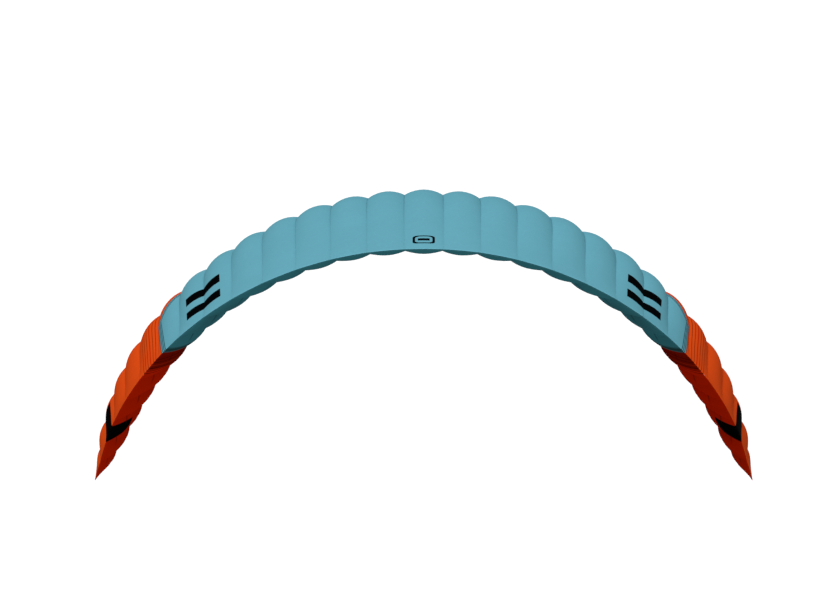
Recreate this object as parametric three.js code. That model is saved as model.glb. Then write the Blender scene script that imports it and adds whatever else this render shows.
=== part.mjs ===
// Kitesurfing kite: a ram-air foil in its inflated flying shape, arched from tip to tip.
//
// Frame, in millimetres: +X towards the right tip, +Y forward to the leading edge, +Z up.
// The kite is symmetric about X = 0. The origin lies on the middle of the lower skin,
// PULL_STATION of the chord behind the nose, where the pull of the lines comes together.
//
// The canopy is a row of cells side by side. Each cell is skinned by two pieces of cloth:
// an upper panel from the trailing edge over the top to the nose, and a lower panel from the
// nose back to the trailing edge. Both end in straight seams in the planes of the ribs, and
// air pressure bulges them out between those seams.

import * as THREE from 'three';

// ---------------------------------------------------------------- cloth and seams
const CLOTH = 2; // thickness of one skin
const SEAM = 0.4; // clear gap between neighbouring pieces at every seam

// ---------------------------------------------------------------- the ribs of the right half
// cell    width of the cell that ends at this rib, measured along the trailing edge
// turn    how many degrees further down that cell slopes than the one inboard of it
// chord   length of the rib from nose to trailing edge
// ahead   how far its trailing end lies ahead of the middle of the trailing edge
// thick   greatest thickness as a part of the chord; the tip is sewn flat
const RIBS = [
  { cell: 283, turn: 0.00, chord: 1932, ahead: 0, thick: 0.187 },
  { cell: 270, turn: 5.60, chord: 1930, ahead: 15, thick: 0.187 },
  { cell: 269, turn: 5.72, chord: 1909, ahead: 25, thick: 0.187 },
  { cell: 265, turn: 5.66, chord: 1877, ahead: 36, thick: 0.187 },
  { cell: 261, turn: 5.56, chord: 1836, ahead: 50, thick: 0.187 },
  { cell: 255, turn: 5.56, chord: 1782, ahead: 68, thick: 0.187 },
  { cell: 246, turn: 5.56, chord: 1716, ahead: 87, thick: 0.187 },
  { cell: 235, turn: 5.55, chord: 1643, ahead: 107, thick: 0.187 },
  { cell: 226, turn: 5.54, chord: 1551, ahead: 132, thick: 0.187 },
  { cell: 222, turn: 5.43, chord: 1456, ahead: 152, thick: 0.187 },
  { cell: 209, turn: 5.50, chord: 1329, ahead: 202, thick: 0.187 },
  { cell: 199, turn: 5.65, chord: 1139, ahead: 290, thick: 0.187 },
  { cell: 198, turn: 5.41, chord: 890, ahead: 396, thick: 0.187 },
  { cell: 188, turn: 4.68, chord: 604, ahead: 485, thick: 0.187 },
  { cell: 162, turn: 0.80, chord: 409, ahead: 534, thick: 0.000 },
];

// ---------------------------------------------------------------- rib section and bulge
const CAMBER = { height: 0.005, station: 0.35 }; // rise of the mean line, and where it peaks
const AFT_SLIM = { from: 0.3, by: 0.4 }; // the upper side gets slimmer behind this station, up to this share
const TIP_TWIST = -1.71; // degrees nose-down at the tip, growing with the square of the span
const BULGE = { upper: 0.144, lower: 0.122 }; // height of the bulge as a part of the cell's width
const BULGE_FULL_AT = 0.38; // the bulge grows from nothing at the trailing edge to full here,
const BULGE_POWER = 0.466; //  with this power of the distance from the trailing edge
const NOSE_BLEND = 0.06; // ahead of this station the two bulges merge into one

const UPPER_STEPS = 10; // facets along an upper panel, closer together at both ends
const LOWER_STEPS = 5; // facets along a lower panel
const SPAN_STEPS = 4; // facets across a panel

const PULL_STATION = 0.3; // station of the origin on the lower skin, from the nose

// ---------------------------------------------------------------- colours
const TEAL = 0x63a5b4;
const ORANGE = 0xcd4716;
const TEAL_CELLS = 8; // cells 0 to 8 on each side are teal, the outer ones orange

const rad = THREE.MathUtils.degToRad;
const clamp01 = (v) => Math.min(1, Math.max(0, v));

// Where each rib stands: foot of its trailing end, the lean of its plane and its twist.
function placeRibs() {
  const span = RIBS.reduce((sum, rib, i) => sum + (i ? rib.cell : rib.cell / 2), 0);
  let slope = 0;
  let x = 0;
  let z = 0;
  let run = 0;
  return RIBS.map((rib, i) => {
    const width = i ? rib.cell : rib.cell / 2;
    slope += rad(rib.turn);
    x += width * Math.cos(slope);
    z -= width * Math.sin(slope);
    run += width;
    const nextTurn = rad(i < RIBS.length - 1 ? RIBS[i + 1].turn : rib.turn);
    const lean = slope + nextTurn / 2;
    return {
      ...rib,
      foot: new THREE.Vector3(x, rib.ahead, z),
      up: new THREE.Vector3(Math.sin(lean), 0, Math.cos(lean)),
      out: new THREE.Vector3(Math.cos(lean), 0, -Math.sin(lean)),
      twist: rad(TIP_TWIST) * (run / span) ** 2,
    };
  });
}

// Height of one side of a rib at station s (0 nose, 1 trailing edge), per chord.
function section(thick, s, side) {
  if (!thick) return 0;
  const { height, station } = CAMBER;
  const mean =
    s < station
      ? (height / station ** 2) * (2 * station * s - s * s)
      : (height / (1 - station) ** 2) * (1 - 2 * station + 2 * station * s - s * s);
  const half =
    5 * thick * (0.2969 * Math.sqrt(s) - 0.126 * s - 0.3516 * s ** 2 + 0.2843 * s ** 3 - 0.1036 * s ** 4);
  const aft = clamp01((s - AFT_SLIM.from) / (1 - AFT_SLIM.from));
  const slim = side > 0 ? 1 - AFT_SLIM.by * aft * aft * (3 - 2 * aft) : 1;
  return mean + side * half * slim;
}

// Stations from the trailing edge to the nose (upper) or from the nose back (lower).
function stations(side) {
  const steps = side > 0 ? UPPER_STEPS : LOWER_STEPS;
  return Array.from({ length: steps + 1 }, (_, k) => 0.5 * (1 + side * Math.cos((Math.PI * k) / steps)));
}

// One side of a rib's outline with its outward normals, both in space.
function ribEdge(rib, side) {
  const flat = stations(side).map((s) => {
    const hem = SEAM / 2 + CLOTH * (rib.thick ? s : 1);
    return new THREE.Vector2((1 - s) * rib.chord, section(rib.thick, s, side) * rib.chord + side * hem);
  });
  const last = flat.length - 1;
  const nose = side > 0 ? last : 0;
  const cos = Math.cos(rib.twist);
  const sin = Math.sin(rib.twist);
  const inSpace = (v) =>
    new THREE.Vector3(0, v.x * cos - v.y * sin, 0).addScaledVector(rib.up, v.x * sin + v.y * cos);
  return flat.map((point, k) => {
    const along = flat[Math.min(k + 1, last)].clone().sub(flat[Math.max(k - 1, 0)]).normalize();
    let normal = new THREE.Vector2(-along.y, along.x);
    if (k === nose) normal = rib.thick ? new THREE.Vector2(1, 0) : new THREE.Vector2(0, side);
    return { point: inSpace(point).add(rib.foot), normal: inSpace(normal) };
  });
}

// Height of the bulge at the middle of a cell, as a part of its width.
function bulgeAt(s, side) {
  const nose = (BULGE.upper + BULGE.lower) / 2;
  const own = side > 0 ? BULGE.upper : BULGE.lower;
  const full = nose + (own - nose) * clamp01(s / NOSE_BLEND);
  return full * clamp01((1 - s) / (1 - BULGE_FULL_AT)) ** BULGE_POWER;
}

// Height of a circular arc over a straight line of the given width, at u from 0 to 1.
function arcHeight(u, width, rise) {
  if (rise < 1e-6) return 0;
  const radius = (rise * rise + (width * width) / 4) / (2 * rise);
  return Math.sqrt(radius * radius - ((u - 0.5) * width) ** 2) - (radius - rise);
}

// The cloth of one side of the cell between two ribs, as a closed solid of even thickness.
function panel(inboard, outboard, side) {
  const a = ribEdge(inboard, side);
  const b = ribEdge(outboard, side);
  const rows = stations(side).map((s, j) => {
    const width = a[j].point.distanceTo(b[j].point);
    const rise = bulgeAt(s, side) * width;
    return Array.from({ length: SPAN_STEPS + 1 }, (_, k) => {
      const u = k / SPAN_STEPS;
      const normal = a[j].normal.clone().lerp(b[j].normal, u).normalize();
      const outer = a[j].point.clone().lerp(b[j].point, u);
      outer.addScaledVector(normal, arcHeight(u, width, rise));
      if (k === 0) outer.addScaledVector(inboard.out, SEAM / 2);
      if (k === SPAN_STEPS) outer.addScaledVector(outboard.out, -SEAM / 2);
      return { outer, inner: outer.clone().addScaledVector(normal, -CLOTH) };
    });
  });

  const across = SPAN_STEPS + 1;
  const layer = rows.length * across;
  const points = [];
  for (const skin of ['outer', 'inner']) for (const row of rows) for (const cell of row) points.push(cell[skin]);
  const outer = (j, k) => j * across + k;
  const inner = (j, k) => layer + j * across + k;
  const faces = [];
  const quad = (p, q, r, s) => faces.push(p, q, r, p, r, s);
  for (let j = 0; j < rows.length - 1; j++) {
    for (let k = 0; k < SPAN_STEPS; k++) {
      quad(outer(j, k), outer(j, k + 1), outer(j + 1, k + 1), outer(j + 1, k));
      quad(inner(j, k), inner(j + 1, k), inner(j + 1, k + 1), inner(j, k + 1));
    }
    quad(outer(j, 0), outer(j + 1, 0), inner(j + 1, 0), inner(j, 0));
    quad(outer(j + 1, SPAN_STEPS), outer(j, SPAN_STEPS), inner(j, SPAN_STEPS), inner(j + 1, SPAN_STEPS));
  }
  for (let k = 0; k < SPAN_STEPS; k++) {
    const end = rows.length - 1;
    quad(outer(0, k + 1), outer(0, k), inner(0, k), inner(0, k + 1));
    quad(outer(end, k), outer(end, k + 1), inner(end, k + 1), inner(end, k));
  }
  const geometry = new THREE.BufferGeometry();
  geometry.setAttribute('position', new THREE.Float32BufferAttribute(points.flatMap((p) => p.toArray()), 3));
  geometry.setIndex(faces);
  return geometry;
}

// The same piece on the other half of the kite.
function mirrored(geometry) {
  const copy = geometry.clone().scale(-1, 1, 1);
  const index = copy.getIndex().array;
  for (let i = 0; i < index.length; i += 3) [index[i], index[i + 1]] = [index[i + 1], index[i]];
  return copy;
}

function mirroredRib(rib) {
  const flip = new THREE.Vector3(-1, 1, 1);
  return {
    ...rib,
    foot: rib.foot.clone().multiply(flip),
    up: rib.up.clone().multiply(flip),
    out: new THREE.Vector3(rib.out.x, 0, -rib.out.z),
  };
}

// The point of the lower skin that the origin lies on, before the canopy is moved there.
function pullPoint(rib) {
  const rise = bulgeAt(PULL_STATION, -1) * rib.cell;
  const skin = section(rib.thick, PULL_STATION, -1) * rib.chord - SEAM / 2 - CLOTH * PULL_STATION;
  return new THREE.Vector3(0, (1 - PULL_STATION) * rib.chord, skin - rise);
}

const ribs = placeRibs();
const canopy = new THREE.Group();
canopy.position.copy(pullPoint(ribs[0])).negate();

for (const [skin, side] of [['upper', 1], ['lower', -1]]) {
  for (let cell = 0; cell < ribs.length; cell++) {
    const inboard = cell ? ribs[cell - 1] : mirroredRib(ribs[0]);
    const right = panel(inboard, ribs[cell], side);
    const pieces = cell ? [['r', right], ['l', mirrored(right)]] : [['', right]];
    for (const [half, geometry] of pieces) {
      geometry.computeVertexNormals();
      const material = new THREE.MeshStandardMaterial({
        color: cell <= TEAL_CELLS ? TEAL : ORANGE,
        roughness: 0.55,
        metalness: 0,
      });
      const mesh = new THREE.Mesh(geometry, material);
      mesh.name = `${skin}_${half}${String(cell).padStart(2, '0')}`;
      canopy.add(mesh);
    }
  }
}

const kite = new THREE.Group();
kite.add(canopy);

export default kite;
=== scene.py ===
# Kitesurfing kite: a ram-air foil in its inflated flying shape, arched from tip to tip.
#
# Frame, in metres: +X towards the right tip, +Y forward to the leading edge, +Z up.
# Every cell of the canopy is skinned by an upper and a lower panel of coated ripstop. Each panel is
# made here as a thin closed sheet on the same curves as its solid: straight seams in the planes of
# the ribs, and a bulge between them that fades out at the trailing edge. The fine mesh adds what the
# sewing does to the cloth: the sunk seams, the puckers beside them, the folded hems and a few soft
# creases. The weave, stitches, coating and wear are in the materials.
# The materials also paint shade: the lower skins are darker copies of the upper cloth, and the seams, a short
# fold and the shadow of the prints on the lower panels are painted darker.

import math

import bpy
import numpy as np
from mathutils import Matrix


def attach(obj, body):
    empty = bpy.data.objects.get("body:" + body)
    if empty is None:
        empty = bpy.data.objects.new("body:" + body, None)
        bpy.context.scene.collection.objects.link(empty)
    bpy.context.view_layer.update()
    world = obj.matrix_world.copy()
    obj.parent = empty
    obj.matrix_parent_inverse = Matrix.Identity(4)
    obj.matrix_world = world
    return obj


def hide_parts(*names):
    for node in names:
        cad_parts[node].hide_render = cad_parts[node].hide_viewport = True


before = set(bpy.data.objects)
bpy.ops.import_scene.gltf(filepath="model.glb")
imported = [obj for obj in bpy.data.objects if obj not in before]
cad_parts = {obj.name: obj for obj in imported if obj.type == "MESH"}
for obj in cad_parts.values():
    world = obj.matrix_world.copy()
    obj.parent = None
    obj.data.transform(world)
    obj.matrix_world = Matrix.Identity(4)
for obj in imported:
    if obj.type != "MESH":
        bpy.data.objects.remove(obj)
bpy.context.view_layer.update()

# ---------------------------------------------------------------- cloth and seams
CLOTH = 0.002    # thickness of one skin in the solids
SEAM = 0.0004    # clear gap between neighbouring pieces at every seam
SHEET = 0.0014   # thickness of a skin here
SEWN = 0.0002    # and the gap between two skins here, where a seam joins them

# ---------------------------------------------------------------- the ribs of the right half
# cell, turn (degrees), chord, ahead, thick: as in the solids, lengths in millimetres
RIBS = [
    dict(cell=283, turn=0.00, chord=1932, ahead=0, thick=0.187),
    dict(cell=270, turn=5.60, chord=1930, ahead=15, thick=0.187),
    dict(cell=269, turn=5.72, chord=1909, ahead=25, thick=0.187),
    dict(cell=265, turn=5.66, chord=1877, ahead=36, thick=0.187),
    dict(cell=261, turn=5.56, chord=1836, ahead=50, thick=0.187),
    dict(cell=255, turn=5.56, chord=1782, ahead=68, thick=0.187),
    dict(cell=246, turn=5.56, chord=1716, ahead=87, thick=0.187),
    dict(cell=235, turn=5.55, chord=1643, ahead=107, thick=0.187),
    dict(cell=226, turn=5.54, chord=1551, ahead=132, thick=0.187),
    dict(cell=222, turn=5.43, chord=1456, ahead=152, thick=0.187),
    dict(cell=209, turn=5.50, chord=1329, ahead=202, thick=0.187),
    dict(cell=199, turn=5.65, chord=1139, ahead=290, thick=0.187),
    dict(cell=198, turn=5.41, chord=890, ahead=396, thick=0.187),
    dict(cell=188, turn=4.68, chord=604, ahead=485, thick=0.187),
    dict(cell=162, turn=0.80, chord=409, ahead=534, thick=0.000),
]
CAMBER = dict(height=0.005, station=0.35)
AFT_SLIM = dict(start=0.3, by=0.4)
TIP_TWIST = -1.71
BULGE = dict(upper=0.144, lower=0.122)
BULGE_FULL_AT = 0.38
BULGE_POWER = 0.466
NOSE_BLEND = 0.06
PULL_STATION = 0.3
TEAL_CELLS = 8       # cells 0 to 8 on each side are teal, the outer ones orange

# ---------------------------------------------------------------- what the sewing does
GROOVE = dict(depth=0.0005, reach=0.0016)    # cloth sinks into every seam
HEM = dict(width=0.0115, height=0.0004)      # folded hem along the trailing edge
PUCKER = dict(depth=0.0007, reach=0.015, wave=0.072)   # small waves beside the seams
CREASE = dict(depth=0.0045, half_width=0.010)          # soft troughs down the middle of the lower panels

ROW_STEP = 0.012     # distance between rows of the mesh
NOSE_STEP = 0.007    # and within 0.12 m of the nose


# ================================================================ geometry
def place_ribs():
    span = sum(r["cell"] / (1 if i else 2) for i, r in enumerate(RIBS)) / 1000
    slope = x = z = run = 0.0
    placed = []
    for i, r in enumerate(RIBS):
        width = r["cell"] / 1000 / (1 if i else 2)
        slope += math.radians(r["turn"])
        x += width * math.cos(slope)
        z -= width * math.sin(slope)
        run += width
        following = RIBS[min(i + 1, len(RIBS) - 1)]["turn"]
        lean = slope + math.radians(following) / 2
        placed.append(dict(
            foot=np.array([x, r["ahead"] / 1000, z]),
            up=np.array([math.sin(lean), 0, math.cos(lean)]),
            out=np.array([math.cos(lean), 0, -math.sin(lean)]),
            twist=math.radians(TIP_TWIST) * (run / span) ** 2,
            chord=r["chord"] / 1000, thick=r["thick"], cell=r["cell"] / 1000,
        ))
    return placed


def section(thick, s, side):
    """Height of one side of a rib at station s (0 nose, 1 trailing edge), per chord."""
    if not thick:
        return 0 * s
    h, p = CAMBER["height"], CAMBER["station"]
    half = 5 * thick * (0.2969 * np.sqrt(s) - 0.126 * s - 0.3516 * s**2 + 0.2843 * s**3 - 0.1036 * s**4)
    mean = np.where(s < p, h / p**2 * (2 * p * s - s * s), h / (1 - p) ** 2 * (1 - 2 * p + 2 * p * s - s * s))
    aft = np.clip((s - AFT_SLIM["start"]) / (1 - AFT_SLIM["start"]), 0, 1)
    slim = 1 - AFT_SLIM["by"] * aft * aft * (3 - 2 * aft) if side > 0 else 1.0
    return mean + side * half * slim


def flat_edge(rib, side, s):
    hem = SEAM / 2 + CLOTH * (s if rib["thick"] else 1.0)
    return np.stack([(1 - s) * rib["chord"], section(rib["thick"], s, side) * rib["chord"] + side * hem], -1)


def rib_edge(rib, side, s):
    """One side of a rib's outline and its outward normals, in space. s runs from the tail for the upper
    side and from the nose for the lower one."""
    flat = flat_edge(rib, side, s)
    step = 2e-4
    lo, hi = np.clip(s - step, 0, 1), np.clip(s + step, 0, 1)
    along = flat_edge(rib, side, lo) - flat_edge(rib, side, hi)
    along *= side
    along /= np.linalg.norm(along, axis=1)[:, None]
    normal = np.stack([-along[:, 1], along[:, 0]], -1)
    nose = s < 1e-9
    normal[nose] = (1, 0) if rib["thick"] else (0, side)
    c, n = math.cos(rib["twist"]), math.sin(rib["twist"])

    def in_space(v):
        across = v[:, 0] * n + v[:, 1] * c
        return np.stack([0 * across, v[:, 0] * c - v[:, 1] * n, 0 * across], -1) + across[:, None] * rib["up"]

    return in_space(flat) + rib["foot"], in_space(normal)


def bulge_at(s, side):
    nose = (BULGE["upper"] + BULGE["lower"]) / 2
    own = BULGE["upper"] if side > 0 else BULGE["lower"]
    full = nose + (own - nose) * np.clip(s / NOSE_BLEND, 0, 1)
    return full * np.clip((1 - s) / (1 - BULGE_FULL_AT), 0, 1) ** BULGE_POWER


def row_marks(length):
    """Distances from the trailing edge at which the mesh has a row."""
    head = np.array([0, 0.0012, 0.004, 0.0095, 0.0108, 0.0122, 0.0145, 0.020])
    tail = length - np.array([0.018, 0.011, 0.006, 0.0030, 0.0012, 0.0])
    bend = max(length - 0.12, 0.05)
    first = np.linspace(head[-1], bend, max(2, math.ceil((bend - head[-1]) / ROW_STEP)) + 1)[1:]
    second = np.linspace(bend, tail[0], max(2, math.ceil((tail[0] - bend) / NOSE_STEP)) + 1)[1:-1]
    return np.concatenate([head, first, second, tail])


def stations(a, b, side):
    """Stations of the rows, from the trailing edge (upper) or from the nose (lower)."""
    fine = 0.5 * (1 + np.cos(np.linspace(0, math.pi, 4001)))
    line = (flat_edge(a, side, fine) + flat_edge(b, side, fine)) / 2
    run = np.concatenate([[0], np.cumsum(np.linalg.norm(np.diff(line, axis=0), axis=1))])
    marks = row_marks(run[-1])
    s = np.interp(marks, run, fine)
    s[0], s[-1] = 1.0, 0.0
    return s if side > 0 else s[::-1]


def columns(width, side):
    """Places of the columns across a panel, closer together beside the seams, from 0 to 1."""
    half = width / 2
    near = [0, 0.0012, 0.0034, 0.0075, 0.015, 0.027, 0.044]
    if side > 0:
        inner = list(np.linspace(near[-1], half, 4)[1:])
    else:
        inner = list(np.linspace(near[-1], half - 0.030, 3)[1:]) + [half - 0.016, half - 0.007, half]
    left = np.array(near + inner) / width
    return np.concatenate([left, 1 - left[-2::-1]])


def waves(along, rng):
    """Uneven waves of about PUCKER's wavelength along a seam."""
    k = 2 * math.pi / PUCKER["wave"]
    a = rng.uniform(0, 6.28, 5)
    wander = 1.3 * np.sin(k * along / 5.3 + a[0]) + 0.8 * np.sin(k * along / 11.0 + a[1])
    strength = 0.55 + 0.45 * np.sin(k * along / 3.7 + a[2]) * np.sin(k * along / 8.9 + a[3])
    return strength * np.sin(k * along + wander + a[4])


def build_panel(a, b, side, cell, rng):
    """Outer and inner points of a panel of the right half and the coordinates on its cloth."""
    s = stations(a, b, side)
    (pa, na), (pb, nb) = rib_edge(a, side, s), rib_edge(b, side, s)
    width = np.linalg.norm(pb - pa, axis=1)
    u = columns(float(width.mean()), side)
    rise = np.maximum(bulge_at(s, side) * width, 1e-9)
    radius = (rise**2 + width**2 / 4) / (2 * rise)
    across = (u[None, :] - 0.5) * width[:, None]
    arc = np.sqrt(np.maximum(radius[:, None] ** 2 - across**2, 0)) - (radius - rise)[:, None]
    arc = np.where(rise[:, None] < 1e-6, 0, arc)
    normal = na[:, None] * (1 - u[None, :, None]) + nb[:, None] * u[None, :, None]
    normal /= np.linalg.norm(normal, axis=2)[:, :, None]
    outer = pa[:, None] * (1 - u[None, :, None]) + pb[:, None] * u[None, :, None] + normal * arc[:, :, None]
    gap = SEWN / 2 * (0.35 + 0.65 * np.clip(1.25 - 1.9 * s, 0, 1))[:, None]
    outer[:, 0] += a["out"] * gap
    outer[:, -1] -= b["out"] * gap

    # where each point lies on the flat cloth
    row = np.linalg.norm(np.diff(outer, axis=1), axis=2)
    x = np.concatenate([np.zeros((len(s), 1)), np.cumsum(row, axis=1)], axis=1)
    girth = x[:, -1:].copy()
    edge_side = np.minimum(x, girth - x)
    column = np.linalg.norm(np.diff(outer, axis=0), axis=2)
    y = np.concatenate([np.zeros((1, len(u))), np.cumsum(column, axis=0)], axis=0)
    if side < 0:
        y = y[-1:] - y
    from_tail = y
    from_nose = (y[0] if side < 0 else y[-1])[None, :] - y
    middle = y[:, len(u) // 2][:, None] * np.ones((1, len(u)))
    area = float(np.sum((row[:-1] + row[1:]) / 2 * ((column[:, :-1] + column[:, 1:]) / 2)))

    # what the sewing does to it
    g = GROOVE
    depth = g["depth"] * (0.15 + 0.85 * np.clip(1.25 - 1.9 * s, 0, 1))[:, None]
    push = -depth * np.exp(-((edge_side / g["reach"]) ** 2))
    push = np.minimum(push, -g["depth"] * np.exp(-((from_nose / g["reach"]) ** 2)))
    fold = 1 / (1 + np.exp(np.clip((from_tail - HEM["width"]) / 0.0006, -40, 40)))
    push += HEM["height"] * fold
    near = edge_side / PUCKER["reach"]
    beside = near * np.exp(1 - near)
    bend = np.exp(-((s - 0.03) / 0.10) ** 2)
    tail = np.exp(-((1 - s) / 0.05) ** 2)
    size = PUCKER["depth"] * (0.34 + 1.0 * bend + 0.35 * tail)
    for edge in (0, 1):
        hold = np.where(x < girth / 2, edge == 0, edge == 1)
        push += hold * beside * size[:, None] * waves(middle + 0.4 * edge_side, rng)
    if side < 0:
        c = CREASE
        place = np.abs(x - girth / 2)
        start, end = 0.10 + 0.03 * rng.random(), 0.52 + 0.08 * rng.random()
        window = np.clip((s - start) / 0.10, 0, 1) * np.clip((end - s) / 0.22, 0, 1)
        window = window * window * (3 - 2 * window)
        push -= c["depth"] * np.exp(-((place / c["half_width"]) ** 2)) * window[:, None]

    # true normals of the smooth sheet
    du = np.gradient(outer, axis=1)
    ds = np.gradient(outer, axis=0)
    true = np.cross(du, ds)
    true /= np.maximum(np.linalg.norm(true, axis=2), 1e-12)[:, :, None]
    blunt = np.clip(edge_side / 0.004, 0, 1)[:, :, None]
    lift = normal * (1 - blunt) + true * blunt
    lift /= np.linalg.norm(lift, axis=2)[:, :, None]
    outer = outer + lift * push[:, :, None]
    inner = outer - lift * (SHEET + (CLOTH - SHEET + HEM["height"]) * fold)[:, :, None]

    u_grid = np.broadcast_to(u[None, :], y.shape)
    s_grid = np.broadcast_to(s[:, None], y.shape)
    maps = {
        "cell": (u_grid, s_grid),
        "cloth": (x - girth / 2, middle),
        "edge": (edge_side, from_tail),
        "ends": (from_nose, np.full(y.shape, rng.random())),
    }
    sizes = dict(width=float(girth.max()), length=float(middle.max()), area=area)
    return outer, inner, maps, sizes


def mesh_of(name, outer, inner, maps, flip):
    rows, cols = outer.shape[:2]
    layer = rows * cols
    points = np.concatenate([outer.reshape(-1, 3), inner.reshape(-1, 3)])
    if flip:
        points = points * np.array([-1, 1, 1])
    j, k = np.meshgrid(np.arange(rows - 1), np.arange(cols - 1), indexing="ij")
    o = (j * cols + k).ravel()
    out_faces = np.stack([o, o + 1, o + cols + 1, o + cols], -1)
    in_faces = np.stack([o, o + cols, o + cols + 1, o + 1], -1) + layer
    r = np.arange(rows - 1) * cols
    c = np.arange(cols - 1)
    e = (rows - 1) * cols
    rims = np.concatenate([
        np.stack([r, r + cols, r + cols + layer, r + layer], -1),
        np.stack([r + cols + cols - 1, r + cols - 1, r + cols - 1 + layer, r + cols + cols - 1 + layer], -1),
        np.stack([c + 1, c, c + layer, c + 1 + layer], -1),
        np.stack([e + c, e + c + 1, e + c + 1 + layer, e + c + layer], -1),
    ])
    faces = np.concatenate([out_faces, in_faces, rims])
    if flip:
        faces = faces[:, ::-1]
    mesh = bpy.data.meshes.new(name)
    mesh.vertices.add(len(points))
    mesh.vertices.foreach_set("co", points.astype(np.float32).ravel())
    mesh.loops.add(faces.size)
    mesh.loops.foreach_set("vertex_index", faces.astype(np.int32).ravel())
    mesh.polygons.add(len(faces))
    mesh.polygons.foreach_set("loop_start", np.arange(0, faces.size, 4, dtype=np.int32))
    smooth = np.ones(len(faces), bool)
    smooth[-len(rims):] = False
    mesh.update(calc_edges=True)
    mesh.polygons.foreach_set("use_smooth", smooth)
    order = faces.ravel() % layer
    for key, (first, second) in maps.items():
        layer_map = mesh.uv_layers.new(name=key)
        values = np.stack([np.ravel(first)[order], np.ravel(second)[order]], -1)
        layer_map.uv.foreach_set("vector", values.astype(np.float32).ravel())
    mesh.validate()
    mesh.update()
    return mesh


# ================================================================ materials
class Tree:
    """Short names for building a material's nodes."""

    def __init__(self, name):
        self.material = bpy.data.materials.new(name)
        self.material.use_nodes = True
        self.nodes = self.material.node_tree.nodes
        self.links = self.material.node_tree.links
        self.nodes.clear()
        self.uvs = {}

    def put(self, socket, value):
        if isinstance(value, bpy.types.NodeSocket):
            self.links.new(value, socket)
        else:
            socket.default_value = value

    def math(self, op, a, b=None, c=None, clamp=False):
        n = self.nodes.new("ShaderNodeMath")
        n.operation, n.use_clamp = op, clamp
        for socket, value in zip(n.inputs, (a, b, c)):
            if value is not None:
                self.put(socket, value)
        return n.outputs[0]

    def uv(self, name):
        if name not in self.uvs:
            n = self.nodes.new("ShaderNodeUVMap")
            n.uv_map = name
            sep = self.nodes.new("ShaderNodeSeparateXYZ")
            self.links.new(n.outputs[0], sep.inputs[0])
            self.uvs[name] = (sep.outputs[0], sep.outputs[1], n.outputs[0])
        return self.uvs[name]

    def noise(self, vector, scale, detail=3.0, rough=0.5, stretch=None):
        if stretch:
            m = self.nodes.new("ShaderNodeMapping")
            m.inputs["Scale"].default_value = stretch
            self.links.new(vector, m.inputs["Vector"])
            vector = m.outputs[0]
        n = self.nodes.new("ShaderNodeTexNoise")
        n.inputs["Scale"].default_value = scale
        n.inputs["Detail"].default_value = detail
        n.inputs["Roughness"].default_value = rough
        self.links.new(vector, n.inputs["Vector"])
        return n.outputs[0]

    def place(self):
        return self.nodes.new("ShaderNodeTexCoord").outputs["Object"]

    def mix(self, factor, a, b, blend="MIX"):
        n = self.nodes.new("ShaderNodeMix")
        n.data_type, n.blend_type = "RGBA", blend
        self.put(n.inputs[0], factor)
        self.put(n.inputs[6], a)
        self.put(n.inputs[7], b)
        return n.outputs[2]

    def band(self, value, lo, hi, soft):
        """1 where value lies between lo and hi, with edges soft wide."""
        up = self.math("MULTIPLY_ADD", value, 1 / soft, -lo / soft + 0.5, clamp=True)
        down = self.math("MULTIPLY_ADD", value, -1 / soft, hi / soft + 0.5, clamp=True)
        return self.math("MULTIPLY", up, down)

    def below(self, value, limit, soft):
        return self.math("MULTIPLY_ADD", value, -1 / soft, limit / soft + 0.5, clamp=True)

    def times(self, *values):
        out = values[0]
        for v in values[1:]:
            out = self.math("MULTIPLY", out, v)
        return out

    def most(self, *values):
        out = values[0]
        for v in values[1:]:
            out = self.math("MAXIMUM", out, v)
        return out


def linear(r, g, b):
    """sRGB 0..255 to the linear colour a shader takes."""
    def one(c):
        c /= 255
        return c / 12.92 if c <= 0.04045 else ((c + 0.055) / 1.055) ** 2.4
    return (one(r), one(g), one(b), 1.0)


def scaled(colour, by):
    return tuple(c * by for c in colour[:3]) + (1.0,)


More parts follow.
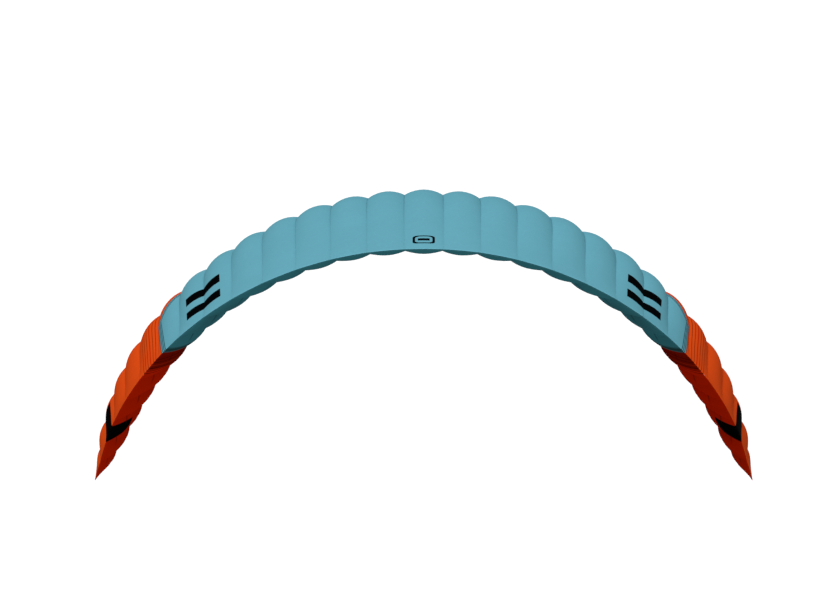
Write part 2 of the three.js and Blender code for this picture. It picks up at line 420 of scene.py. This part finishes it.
def cloth(name, colour, gloss, rim, prints_and_shade=()):
    """Coated ripstop: a fine square grid of thicker threads in a plain weave, two rows of stitches beside
    each seam, a stitched hem, faint blotches and creases in the coating, and wear on what rubs."""
    t = Tree(name)
    u, s, _ = t.uv("cell")
    x, y, flat = t.uv("cloth")
    d_side, d_tail, _ = t.uv("edge")
    d_nose, lot, _ = t.uv("ends")
    place = t.place()

    # colour of the dyed cloth, slightly uneven
    broad = t.noise(place, 2.6, 4.0, 0.55)
    fine = t.noise(place, 34.0, 3.0, 0.6)
    uneven = t.math("MULTIPLY_ADD", broad, 0.75, t.math("MULTIPLY", fine, 0.25))
    uneven = t.math("MULTIPLY_ADD", t.math("SUBTRACT", uneven, 0.5), 2.2, 0.5, clamp=True)
    base = t.mix(uneven, scaled(colour, 0.97), scaled(colour, 1.03))

    for mask, paint in prints_and_shade:
        base = t.mix(mask(t, u, s), base, paint)

    def tint(share, by):
        return t.mix(share, base, (by, by, by, 1.0), "MULTIPLY")

    # ripstop grid, 5 mm
    def grid(value, pitch, line):
        w = t.math("PINGPONG", value, pitch / 2)
        return t.math("MULTIPLY_ADD", w, -1 / line, 1.0, clamp=True)
    ripstop = t.most(grid(x, 0.005, 0.00045), grid(y, 0.005, 0.00045))
    base = tint(t.math("MULTIPLY", ripstop, 0.08), 0.0)

    # seams: painted shade makes a thin line darker where the cloth turns in, and dust gathers beside them
    seam = t.math("MINIMUM", d_side, d_nose)
    dust = t.math("MULTIPLY_ADD", t.noise(place, 11.0, 4.0, 0.6), 0.9, -0.05, clamp=True)
    forward = t.math("MULTIPLY_ADD", s, -1.9, 1.25, clamp=True)
    soil = t.times(t.below(seam, 0.010, 0.016), t.math("MULTIPLY_ADD", dust, 0.06, 0.01),
                   t.math("MULTIPLY_ADD", forward, 0.9, 0.1))
    base = tint(soil, 0.2)
    # painted shade in the seam's groove, fading towards the tail as the groove does
    line = t.math("MULTIPLY", t.below(seam, 0.0014, 0.0014), forward)
    base = tint(t.math("MULTIPLY", line, 0.5), 0.1)

    # stitches: 3.2 mm long, 0.8 mm apart, in two rows beside a seam and two in the hem
    def row(distance, at, along):
        dash = t.math("GREATER_THAN", t.math("FRACT", t.math("MULTIPLY", along, 1 / 0.0040)), 0.2)
        return t.math("MULTIPLY", t.band(distance, at - 0.00045, at + 0.00045, 0.0003), dash)
    beside = t.most(row(d_side, 0.0042, y), row(d_side, 0.0088, y))
    stitches = t.most(beside, row(d_nose, 0.0045, x), row(d_tail, 0.0030, x), row(d_tail, 0.0095, x))
    shown = t.math("MULTIPLY_ADD", t.math("MULTIPLY", beside, t.math("SUBTRACT", forward, 1.0)), 0.6, t.math("MULTIPLY", stitches, 0.7))
    base = tint(shown, 0.78)

    # the folded hem shows a little paler, and rubs along its edge
    hem = t.below(d_tail, HEM["width"], 0.0008)
    base = tint(hem, 1.11)
    base = tint(t.below(d_tail, 0.0016, 0.0012), rim)
    rub = t.math("MULTIPLY_ADD", t.noise(place, 55.0, 5.0, 0.7), 5.0, -2.75, clamp=True)
    rubbed = t.times(t.most(t.below(d_tail, 0.004, 0.007), t.math("MULTIPLY", t.band(d_side, 0.001, 0.006, 0.003), 0.4)), rub)
    base = t.mix(t.math("MULTIPLY", rubbed, 0.09), base, (0.2, 0.2, 0.2, 1.0))

    # fine creases that packing leaves in the coating
    folds = t.nodes.new("ShaderNodeTexVoronoi")
    folds.feature = "DISTANCE_TO_EDGE"
    folds.inputs["Scale"].default_value = 7.0
    bent = t.nodes.new("ShaderNodeVectorMath")
    bent.operation = "MULTIPLY_ADD"
    wobble = t.nodes.new("ShaderNodeTexNoise")
    wobble.inputs["Scale"].default_value = 9.0
    t.links.new(place, wobble.inputs["Vector"])
    t.links.new(wobble.outputs["Color"], bent.inputs[0])
    bent.inputs[1].default_value = (0.10, 0.10, 0.10)
    t.links.new(place, bent.inputs[2])
    t.links.new(bent.outputs[0], folds.inputs["Vector"])
    crease = t.math("MULTIPLY_ADD", folds.outputs["Distance"], -1 / 0.035, 1.0, clamp=True)
    crease = t.math("POWER", crease, 2.0)
    base = tint(t.math("MULTIPLY", crease, 0.10), 1.5)

    rough = t.math("MULTIPLY_ADD", fine, 0.16, 0.46)
    rough = t.math("MULTIPLY_ADD", crease, 0.06, rough)

    # relief
    height = t.math("MULTIPLY", ripstop, 0.00012)
    height = t.math("MULTIPLY_ADD", stitches, 0.00045, height)
    height = t.math("MULTIPLY_ADD", crease, 0.00035, height)
    height = t.math("MULTIPLY_ADD", t.noise(flat, 60.0, 4.0, 0.6), 0.0006, height)
    bump = t.nodes.new("ShaderNodeBump")
    bump.inputs["Strength"].default_value = 0.7
    bump.inputs["Distance"].default_value = 1.0
    t.links.new(height, bump.inputs["Height"])

    shader = t.nodes.new("ShaderNodeBsdfPrincipled")
    t.links.new(base, shader.inputs["Base Color"])
    t.links.new(rough, shader.inputs["Roughness"])
    t.links.new(bump.outputs[0], shader.inputs["Normal"])
    shader.inputs["Specular IOR Level"].default_value = gloss
    shader.inputs["Sheen Weight"].default_value = 0.0
    out = t.nodes.new("ShaderNodeOutputMaterial")
    t.links.new(shader.outputs[0], out.inputs[0])
    return t.material


# colours of the cloth and of what is printed on it, linear; the lower skins take darker copies of the upper
# colours, and that darkening is painted shade
TEAL = (0.1253, 0.370, 0.457, 1.0)
TEAL_PAINTED_SHADE = (0.0425, 0.200, 0.240, 1.0)
ORANGE = (0.700, 0.0713, 0.0080, 1.0)
ORANGE_PAINTED_SHADE = (0.548, 0.0150, 0.0003, 1.0)
DEEP_TEAL = (0.012, 0.050, 0.062, 1.0)
# the orange and the pinstripe field on the lower panels: print colour darkened by painted shade
DARK_RED = (0.200, 0.0060, 0.0002, 1.0)
DARK_EDGE = (0.014, 0.034, 0.029, 1.0)
# painted shadow colour, for the veil below the black bars
PRINT_SHADOW = (0.020, 0.060, 0.052, 1.0)
RUST = (0.270, 0.020, 0.0030, 1.0)
RED = (0.560, 0.0230, 0.0010, 1.0)
BLACK = (0.0012, 0.0015, 0.0018, 1.0)


def stripe(at, width):
    """A straight stripe along the chord at that share of the cell's width."""
    return lambda t, u, s: t.band(u, at - width / 2, at + width / 2, 0.006)


def area_of(u0, u1, s0, s1):
    return lambda t, u, s: t.math("MULTIPLY", t.band(u, u0, u1, 0.006), t.band(s, s0, s1, 0.0012))


def rounded(half_u, half_s, centre_s, grow):
    """Distance-like value of a rounded patch in the middle of the centre cell: below 0 inside it."""
    def value(t, u, s):
        across = t.math("MULTIPLY", t.math("ABSOLUTE", t.math("SUBTRACT", u, 0.5)), CENTRE_WIDTH)
        along = t.math("MULTIPLY", t.math("ABSOLUTE", t.math("SUBTRACT", s, centre_s)), CENTRE_CHORD)
        corner = 0.035
        a = t.math("MAXIMUM", t.math("SUBTRACT", across, half_u - corner + grow), 0.0)
        b = t.math("MAXIMUM", t.math("SUBTRACT", along, half_s - corner + grow), 0.0)
        d = t.math("SQRT", t.math("ADD", t.math("MULTIPLY", a, a), t.math("MULTIPLY", b, b)))
        return t.math("SUBTRACT", d, corner)
    return value


CENTRE_WIDTH, CENTRE_CHORD = 0.300, 1.93


def label(t, u, s):
    """A plain rounded frame with one bar in it, in the middle of the centre cell near its tail."""
    outer = t.below(rounded(0.085, 0.083, 0.906, 0.0)(t, u, s), 0.0, 0.002)
    inner = t.below(rounded(0.085, 0.083, 0.906, -0.019)(t, u, s), 0.0, 0.002)
    bar = t.math("MULTIPLY", t.band(u, 0.35, 0.65, 0.006), t.band(s, 0.894, 0.918, 0.0012))
    return t.math("MAXIMUM", t.math("SUBTRACT", outer, inner), bar)


SLANT = dict(at=0.293, slope=0.26, strip=1.122, taper=0.31, chord=1.55, width=0.226)


def from_colour_edge(t, u, s):
    """How far inside the teal a point of cell 8 is, in metres: the teal ends in front at a straight
    slanted edge, and beside the outboard seam at a straight strip that widens towards the tail."""
    k = SLANT
    ahead = t.math("SUBTRACT", t.math("MULTIPLY_ADD", u, -k["slope"], s), k["at"])
    scale = k["chord"] / math.hypot(1, k["slope"] * k["chord"] / k["width"])
    beside = t.math("MULTIPLY_ADD", u, -k["width"], k["strip"] * k["width"])
    beside = t.math("MULTIPLY_ADD", s, -k["taper"] * k["width"], beside)
    return t.math("MINIMUM", t.math("MULTIPLY", ahead, scale), beside)


def outside_edge(t, u, s):
    return t.below(from_colour_edge(t, u, s), 0.0, 0.0015)


def contour(at, width):
    return lambda t, u, s: t.band(from_colour_edge(t, u, s), at - width / 2, at + width / 2, 0.0015)


def painted_fold_shade(t, u, s):
    """Painted shade: the faint dark line of a short fold that runs into a lower panel from its inboard seam.
    """
    slanted = t.math("MULTIPLY_ADD", u, 0.05, s)
    across = t.math("MULTIPLY", t.band(slanted, 0.722, 0.738, 0.030), t.below(u, 0.31, 0.26))
    return t.math("MULTIPLY", across, 0.80)


def painted_print_shadow(u0, u1):
    """A soft dark veil of painted shadow where the print on the upper skin keeps the light from the lower
    one.
    """
    return lambda t, u, s: t.math("MULTIPLY", t.math("MULTIPLY", t.band(u, u0, u1, 0.30), t.band(s, 0.62, 0.92, 0.12)), 0.22)


PINSTRIPES = [(0.10, RUST), (0.22, RUST), (0.35, RED), (0.48, RUST), (0.60, RUST), (0.72, RUST)]
CONTOURS = [(at, 0.0065) for at in (0.014, 0.028, 0.042)]
BARS = ((0.60, 0.70), (0.79, 0.89))
BAND = dict(u=0.21, upper=0.45, lower=0.56)
# what is printed on each panel, and the painted shade and painted shadow laid on lower panels the same way
PRINTS_AND_SHADE = {
    ("upper", 0): [(label, BLACK)],
    ("upper", 6): [(area_of(0.36, 1.10, s0, s1), BLACK) for s0, s1 in BARS],
    ("upper", 7): [(area_of(-0.10, 0.64, s0, s1), BLACK) for s0, s1 in BARS],
    ("upper", 8): [(outside_edge, ORANGE), (contour(0.0, 0.006), DARK_EDGE)]
                  + [(contour(at, w), DEEP_TEAL) for at, w in CONTOURS],
    # lower panels 8 and 9: the orange print and the pinstripes in darker copies, print darkened by painted
    # shade, and a soft dark band in the teal beside the colour edge
    ("lower", 8): [(lambda t, u, s: t.band(u, 0.735, 2.0, 0.05), DARK_RED),
                   (lambda t, u, s: t.times(t.band(u, 0.52, 0.73, 0.12), 0.85), DARK_EDGE)],
    ("upper", 9): [(stripe(at, 0.045 if c is RED else 0.024), c) for at, c in PINSTRIPES],
    ("lower", 9): [(lambda t, u, s: t.band(u, -1.0, 0.55, 0.08), DARK_RED)] + [
        (stripe(at, 0.045 if c is RED else 0.024), scaled(RED, 0.6) if c is RED else scaled(DARK_RED, 0.35))
        for at, c in PINSTRIPES],
    # painted shadow of the black bars of the upper skin
    ("lower", 6): [(painted_print_shadow(0.2, 1.3), PRINT_SHADOW)],
    ("lower", 7): [(painted_print_shadow(-0.3, 0.9), PRINT_SHADOW)],
    ("upper", 12): [(area_of(BAND["u"], 1.10, BAND["upper"], 1.10), BLACK)],
    ("lower", 12): [(area_of(BAND["u"], 1.10, BAND["lower"], 1.10), BLACK)],
}

_made = {}


def material_for(skin, cell):
    upper, teal = skin == "upper", cell <= TEAL_CELLS
    fold_shaded = not upper and cell >= 3
    key = (skin, cell) if (skin, cell) in PRINTS_AND_SHADE else (skin, ("teal" if teal else "orange") + ("_fold_shaded" if fold_shaded else ""))
    if key not in _made:
        # the lower skins' darker colours are painted shade
        colour = (TEAL if upper else TEAL_PAINTED_SHADE) if teal else (ORANGE if upper else ORANGE_PAINTED_SHADE)
        prints_and_shade = list(PRINTS_AND_SHADE.get(key, ()))
        # lower panels from cell 3 outwards get the painted shade line of a short fold
        if fold_shaded:
            prints_and_shade.append((painted_fold_shade, scaled(colour, 0.1)))
        gloss, rim = (0.003, 1.3) if upper else (0.0, 1.0)
        _made[key] = cloth(f"ripstop_{key[0]}_{key[1]}", colour, gloss, rim, prints_and_shade)
    return _made[key]


# ================================================================ the canopy
ribs = place_ribs()
first = ribs[0]
rise = bulge_at(np.array(PULL_STATION), -1) * first["cell"]
pull = np.array([0, (1 - PULL_STATION) * first["chord"],
                 section(first["thick"], np.array(PULL_STATION), -1) * first["chord"]
                 - SEAM / 2 - CLOTH * PULL_STATION - rise])
flip = np.array([-1.0, 1, 1])
mirrored = dict(first, foot=first["foot"] * flip, up=first["up"] * flip,
                out=np.array([first["out"][0], 0, -first["out"][2]]))

for number, (skin, side) in enumerate((("upper", 1), ("lower", -1))):
    for cell in range(len(ribs)):
        inboard = ribs[cell - 1] if cell else mirrored
        for hand in ("r", "l") if cell else ("",):
            rng = np.random.default_rng(1000 + 100 * number + 2 * cell + (hand == "l"))
            outer, inner, maps, sizes = build_panel(inboard, ribs[cell], side, cell, rng)
            name = f"{skin}_{hand}{cell:02d}"
            mesh = mesh_of(f"skin_{name}", outer - pull, inner - pull, maps, hand == "l")
            piece = bpy.data.objects.new(f"skin_{name}", mesh)
            bpy.context.scene.collection.objects.link(piece)
            mesh.materials.append(material_for(skin, cell))
            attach(piece, "root")
            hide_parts(name)

# ================================================================ stage, light, camera
FLOOR_Z = -4.2
mesh = bpy.data.meshes.new("floor")
R = 600.0
mesh.from_pydata([(-R, -R, FLOOR_Z), (R, -R, FLOOR_Z), (R, R, FLOOR_Z), (-R, R, FLOOR_Z)], [], [(0, 1, 2, 3)])
floor = bpy.data.objects.new("floor", mesh)
bpy.context.scene.collection.objects.link(floor)
t = Tree("pale_floor")
diffuse = t.nodes.new("ShaderNodeBsdfDiffuse")
diffuse.inputs["Color"].default_value = (0.90, 0.90, 0.90, 1)
glow = t.nodes.new("ShaderNodeEmission")
glow.inputs["Color"].default_value = (1, 1, 1, 1)
glow.inputs["Strength"].default_value = 0.16
both = t.nodes.new("ShaderNodeAddShader")
t.links.new(diffuse.outputs[0], both.inputs[0])
t.links.new(glow.outputs[0], both.inputs[1])
clear = t.nodes.new("ShaderNodeBsdfTransparent")
sided = t.nodes.new("ShaderNodeMixShader")
t.links.new(t.nodes.new("ShaderNodeNewGeometry").outputs["Backfacing"], sided.inputs[0])
t.links.new(both.outputs[0], sided.inputs[1])
t.links.new(clear.outputs[0], sided.inputs[2])
out = t.nodes.new("ShaderNodeOutputMaterial")
t.links.new(sided.outputs[0], out.inputs[0])
mesh.materials.append(t.material)
floor.visible_diffuse = False
floor.visible_glossy = False

# soft light from all round, a little more of it from the back and from below, and a plain white backdrop
world = bpy.data.worlds.new("studio")
bpy.context.scene.world = world
world.use_nodes = True
nodes, links = world.node_tree.nodes, world.node_tree.links
nodes.clear()
coord = nodes.new("ShaderNodeTexCoord")
lean = nodes.new("ShaderNodeVectorMath")
lean.operation = "DOT_PRODUCT"
lean.inputs[1].default_value = (0.137, -0.33, -0.342)
links.new(coord.outputs["Generated"], lean.inputs[0])
level = nodes.new("ShaderNodeMath")
level.operation = "ADD"
level.inputs[1].default_value = 0.352
links.new(lean.outputs["Value"], level.inputs[0])
floor_level = nodes.new("ShaderNodeMath")
floor_level.operation = "MAXIMUM"
floor_level.inputs[1].default_value = 0.0
links.new(level.outputs[0], floor_level.inputs[0])
dome = nodes.new("ShaderNodeBackground")
dome.inputs["Color"].default_value = (1, 1, 1, 1)
links.new(floor_level.outputs[0], dome.inputs["Strength"])
backdrop = nodes.new("ShaderNodeBackground")
backdrop.inputs["Color"].default_value = (1, 1, 1, 1)
backdrop.inputs["Strength"].default_value = 1.0
path = nodes.new("ShaderNodeLightPath")
pick = nodes.new("ShaderNodeMixShader")
links.new(path.outputs["Is Camera Ray"], pick.inputs[0])
links.new(dome.outputs[0], pick.inputs[1])
links.new(backdrop.outputs[0], pick.inputs[2])
end = nodes.new("ShaderNodeOutputWorld")
links.new(pick.outputs[0], end.inputs[0])

sun = bpy.data.lights.new("softbox", "SUN")
sun.energy = 2.86
sun.angle = math.radians(35)
lamp = bpy.data.objects.new("softbox", sun)
bpy.context.scene.collection.objects.link(lamp)
towards = np.array([-0.197, -0.186, 0.963])
from mathutils import Vector
lamp.rotation_euler = Vector(towards).to_track_quat("Z", "Y").to_euler()

CAMERA = dict(distance=16.7913, above=9.166, down=10.481, focal_px=2335.52, aside_px=10.75)
camera_data = bpy.data.cameras.new("camera")
camera_data.sensor_width = 36.0
camera_data.lens = CAMERA["focal_px"] * 36.0 / 826
camera_data.shift_x = -CAMERA["aside_px"] / 826
camera_data.clip_start, camera_data.clip_end = 0.1, 2000.0
camera = bpy.data.objects.new("camera", camera_data)
above = math.radians(CAMERA["above"])
camera.location = np.array([0, -math.cos(above), math.sin(above)]) * CAMERA["distance"] - pull
camera.rotation_euler = (math.radians(90 - CAMERA["down"]), 0, 0)
bpy.context.scene.collection.objects.link(camera)
bpy.context.scene.camera = camera

bpy.context.scene.view_settings.view_transform = "Standard"
bpy.context.scene.view_settings.look = "None"
